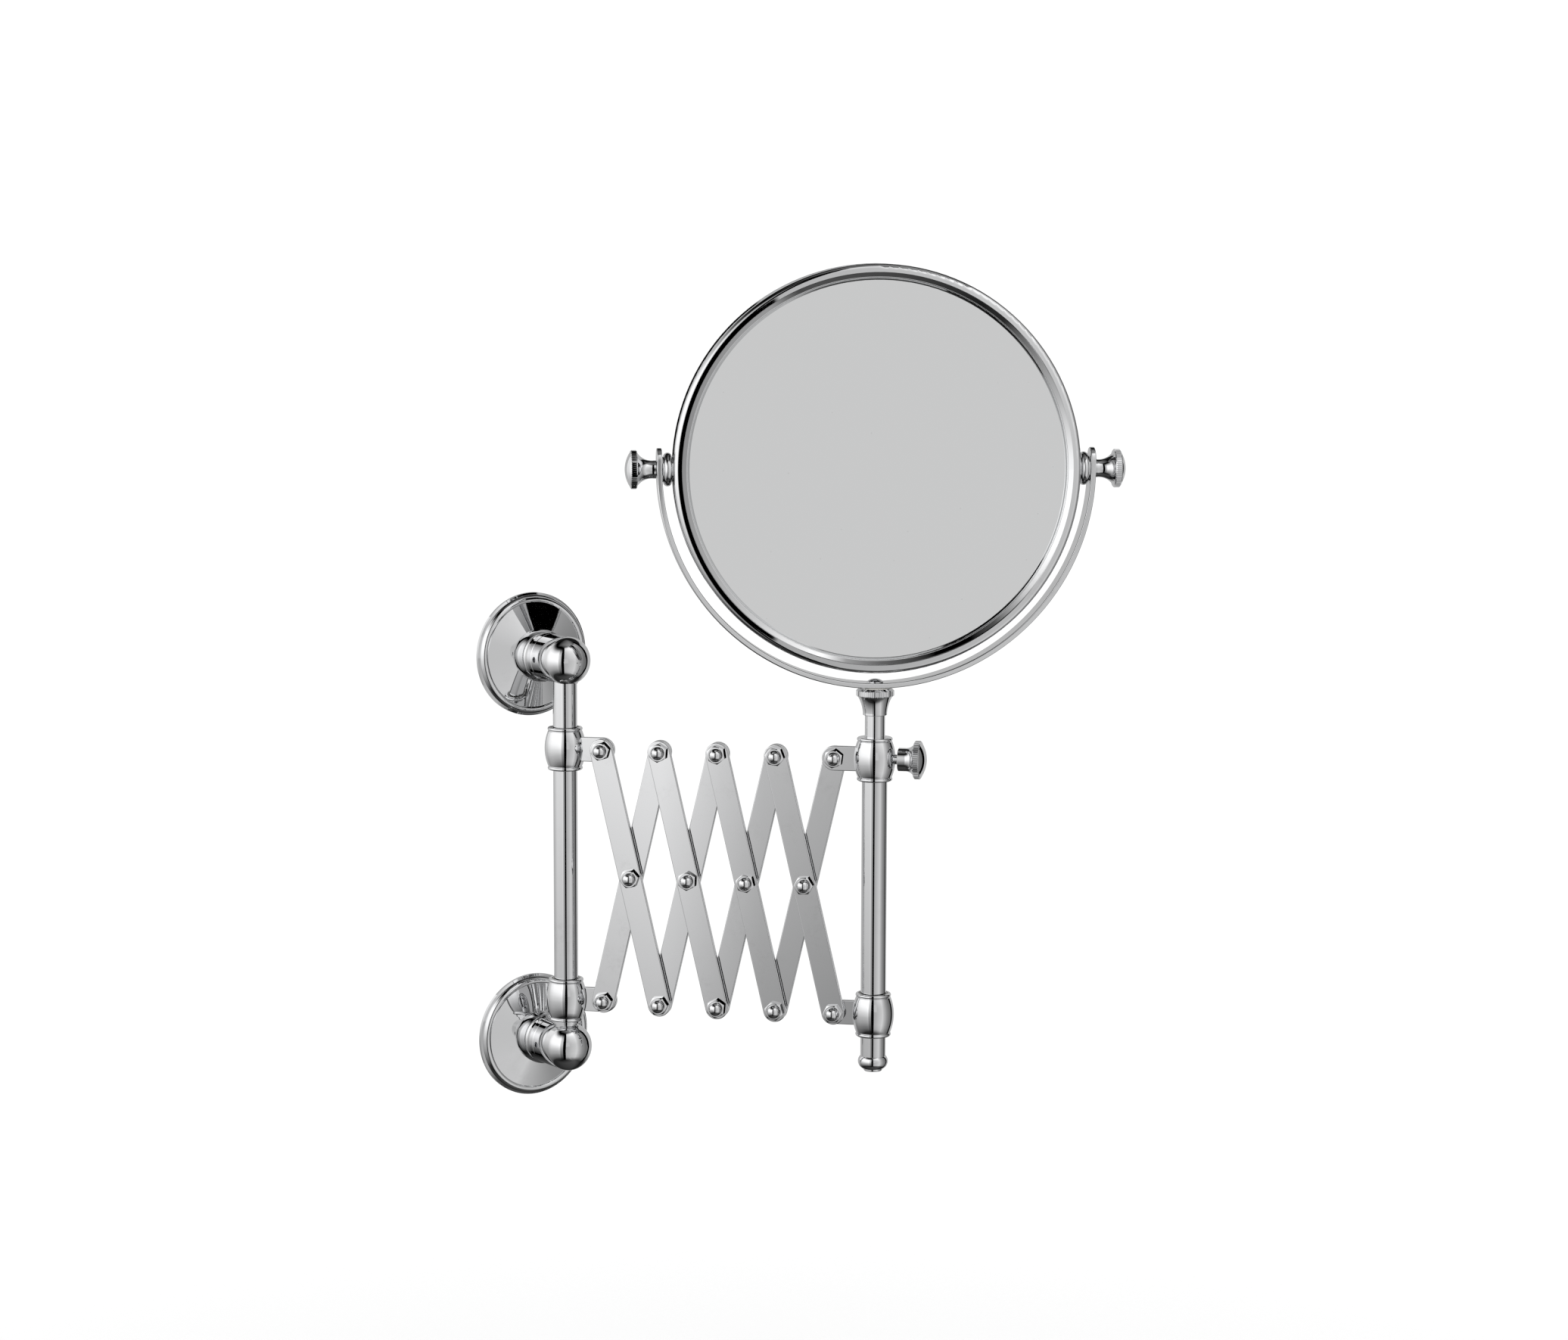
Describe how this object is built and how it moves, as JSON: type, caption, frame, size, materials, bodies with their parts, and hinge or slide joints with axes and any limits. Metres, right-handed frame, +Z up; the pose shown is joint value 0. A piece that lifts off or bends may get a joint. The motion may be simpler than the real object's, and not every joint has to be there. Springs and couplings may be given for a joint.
{
  "type": "extendable shaving mirror",
  "caption": "Wall-mounted round shaving mirror in a tilting yoke on a telescopic stem, carried by a scissor arm that folds back and swings on an upright post.",
  "frame": {"origin": "centre of the lower wall bracket's back face, on the wall", "axes": "+Y into the wall, -Y into the room, +Z up, +X to the right of someone facing the wall"},
  "size_m": [0.2518, 0.2147, 0.428],
  "materials": {
    "chrome": "polished chrome plate",
    "mirror_glass": "silvered glass",
    "zinc_steel": "zinc-plated steel",
    "nylon": "natural nylon",
    "brass": "turned brass",
    "packing": "grey foam board"
  },
  "bodies": {
    "wall_mount": {"lower_wall_bracket": "zinc_steel", "lower_rose": "chrome", "lower_socket": "chrome", "lower_grub_screw": "zinc_steel", "upper_wall_bracket": "zinc_steel", "upper_rose": "chrome", "upper_socket": "chrome", "upper_grub_screw": "zinc_steel", "wall_post": "chrome", "rest_ring": "chrome"},
    "lower_slider": {"lower_post_barrel": "chrome", "lower_post_bush": "nylon", "lower_post_pivot": "chrome"},
    "upper_slider": {"upper_post_barrel": "chrome", "upper_post_bush": "nylon", "upper_post_pivot": "chrome"},
    "back_1": {"back_bar_1": "chrome", "back_pivots_1": "chrome"},
    "front_1": {"front_bar_1": "chrome", "front_pivot_1": "chrome"},
    "back_2": {"back_bar_2": "chrome", "back_pivots_2": "chrome"},
    "front_2": {"front_bar_2": "chrome", "front_pivot_2": "chrome"},
    "back_3": {"back_bar_3": "chrome", "back_pivots_3": "chrome"},
    "front_3": {"front_bar_3": "chrome", "front_pivot_3": "chrome"},
    "back_4": {"back_bar_4": "chrome", "back_pivots_4": "chrome"},
    "front_4": {"front_bar_4": "chrome"},
    "stem_head": {"clamp_barrel": "chrome", "stem_tube": "chrome", "end_bulb": "chrome", "clamp_pivot": "chrome"},
    "lower_stem_slider": {"lower_stem_barrel": "chrome", "lower_stem_bush": "nylon", "lower_stem_pivot": "chrome"},
    "clamp_pad": {"clamp_pad": "brass"},
    "clamp_knob": {"clamp_knob": "chrome"},
    "stem": {"mirror_stem": "chrome", "yoke_screw": "chrome", "swivel_washer": "nylon"},
    "collar_nut": {"collar_nut": "chrome"},
    "yoke": {"yoke": "chrome"},
    "mirror_head": {"mirror_rim": "chrome", "front_bezel": "chrome", "back_bezel": "chrome", "front_glass": "mirror_glass", "magnifying_glass": "mirror_glass", "glass_packing": "packing", "left_spacer": "chrome", "right_spacer": "chrome", "left_tilt_stud": "zinc_steel", "right_tilt_stud": "zinc_steel"},
    "left_tilt_knob": {"left_tilt_knob": "chrome"},
    "right_tilt_knob": {"right_tilt_knob": "chrome"}
  },
  "joints": [
    {"name": "arm_swing", "type": "hinge", "parent": "wall_mount", "child": "lower_slider", "pos_m": [0, -0.0345, 0.0244], "axis": [0, 0, 1], "range_deg": [-130, 40]},
    {"name": "arm_extend", "type": "hinge", "parent": "lower_slider", "child": "back_1", "pos_m": [0.01414, -0.04864, 0.0244], "axis": [0.7071, 0.7071, 0], "range_deg": [-7, 47]},
    {"name": "front_1_pivot", "type": "hinge", "parent": "back_1", "child": "front_1", "pos_m": [0.02464, -0.05914, 0.08871], "axis": [0.7071, 0.7071, 0], "range_deg": [-95, 15]},
    {"name": "upper_slider_pivot", "type": "hinge", "parent": "front_1", "child": "upper_slider", "pos_m": [0.01414, -0.04864, 0.15302], "axis": [0.7071, 0.7071, 0], "range_deg": [-8, 48]},
    {"name": "front_2_pivot", "type": "hinge", "parent": "back_1", "child": "front_2", "pos_m": [0.03514, -0.06964, 0.15302], "axis": [0.7071, 0.7071, 0], "range_deg": [-95, 15]},
    {"name": "back_2_pivot", "type": "hinge", "parent": "front_2", "child": "back_2", "pos_m": [0.04564, -0.08014, 0.08871], "axis": [0.7071, 0.7071, 0], "range_deg": [-15, 95]},
    {"name": "back_3_pivot", "type": "hinge", "parent": "front_2", "child": "back_3", "pos_m": [0.05613, -0.09063, 0.0244], "axis": [0.7071, 0.7071, 0], "range_deg": [-15, 95]},
    {"name": "front_3_pivot", "type": "hinge", "parent": "back_3", "child": "front_3", "pos_m": [0.06663, -0.10113, 0.08871], "axis": [0.7071, 0.7071, 0], "range_deg": [-95, 15]},
    {"name": "front_4_pivot", "type": "hinge", "parent": "back_3", "child": "front_4", "pos_m": [0.07713, -0.11163, 0.15302], "axis": [0.7071, 0.7071, 0], "range_deg": [-95, 15]},
    {"name": "back_4_pivot", "type": "hinge", "parent": "front_4", "child": "back_4", "pos_m": [0.08763, -0.12213, 0.08871], "axis": [0.7071, 0.7071, 0], "range_deg": [-15, 95]},
    {"name": "stem_head_pivot", "type": "hinge", "parent": "back_4", "child": "stem_head", "pos_m": [0.09813, -0.13263, 0.15302], "axis": [0.7071, 0.7071, 0], "range_deg": [-48, 8]},
    {"name": "lower_stem_pivot_turn", "type": "hinge", "parent": "front_4", "child": "lower_stem_slider", "pos_m": [0.09813, -0.13263, 0.0244], "axis": [0.7071, 0.7071, 0], "range_deg": [-8, 48]},
    {"name": "mirror_height", "type": "slide", "parent": "stem_head", "child": "stem", "axis": [0, 0, 1], "range_m": [-0.01, 0.08]},
    {"name": "clamp_knob_turn", "type": "hinge", "parent": "clamp_pad", "child": "clamp_knob", "pos_m": [0.11001, -0.14903, 0.15302], "axis": [0.7071, -0.7071, 0], "range_deg": [0, 360]},
    {"name": "clamp_pad_slide", "type": "slide", "parent": "stem_head", "child": "clamp_pad", "axis": [0.7071, -0.7071, 0], "range_m": [0, 0.00085]},
    {"name": "collar_nut_turn", "type": "hinge", "parent": "stem", "child": "collar_nut", "pos_m": [0.11001, -0.14903, 0.18795], "axis": [0, 0, 1], "range_deg": [-90, 0]},
    {"name": "yoke_swivel", "type": "hinge", "parent": "stem", "child": "yoke", "pos_m": [0.11001, -0.14903, 0.1886], "axis": [0, 0, 1], "continuous": true},
    {"name": "mirror_tilt", "type": "hinge", "parent": "yoke", "child": "mirror_head", "pos_m": [0.11001, -0.14903, 0.2965], "axis": [0.8788, -0.4772, 0], "continuous": true},
    {"name": "left_tilt_knob_turn", "type": "hinge", "parent": "mirror_head", "child": "left_tilt_knob", "pos_m": [0.11001, -0.14903, 0.2965], "axis": [-0.8788, 0.4772, 0], "range_deg": [0, 180]},
    {"name": "right_tilt_knob_turn", "type": "hinge", "parent": "mirror_head", "child": "right_tilt_knob", "pos_m": [0.11001, -0.14903, 0.2965], "axis": [0.8788, -0.4772, 0], "range_deg": [0, 180]}
  ],
  "couplings": [
    {"joint": "front_1_pivot", "follows": "arm_extend", "ratio": -2},
    {"joint": "upper_slider_pivot", "follows": "arm_extend", "ratio": 1},
    {"joint": "front_2_pivot", "follows": "arm_extend", "ratio": -2},
    {"joint": "back_2_pivot", "follows": "arm_extend", "ratio": 2},
    {"joint": "back_3_pivot", "follows": "arm_extend", "ratio": 2},
    {"joint": "front_3_pivot", "follows": "arm_extend", "ratio": -2},
    {"joint": "front_4_pivot", "follows": "arm_extend", "ratio": -2},
    {"joint": "back_4_pivot", "follows": "arm_extend", "ratio": 2},
    {"joint": "stem_head_pivot", "follows": "arm_extend", "ratio": -1},
    {"joint": "lower_stem_pivot_turn", "follows": "arm_extend", "ratio": 1},
    {"joint": "clamp_pad_slide", "follows": "clamp_knob_turn", "m_per_rad": 0.00012732}
  ]
}
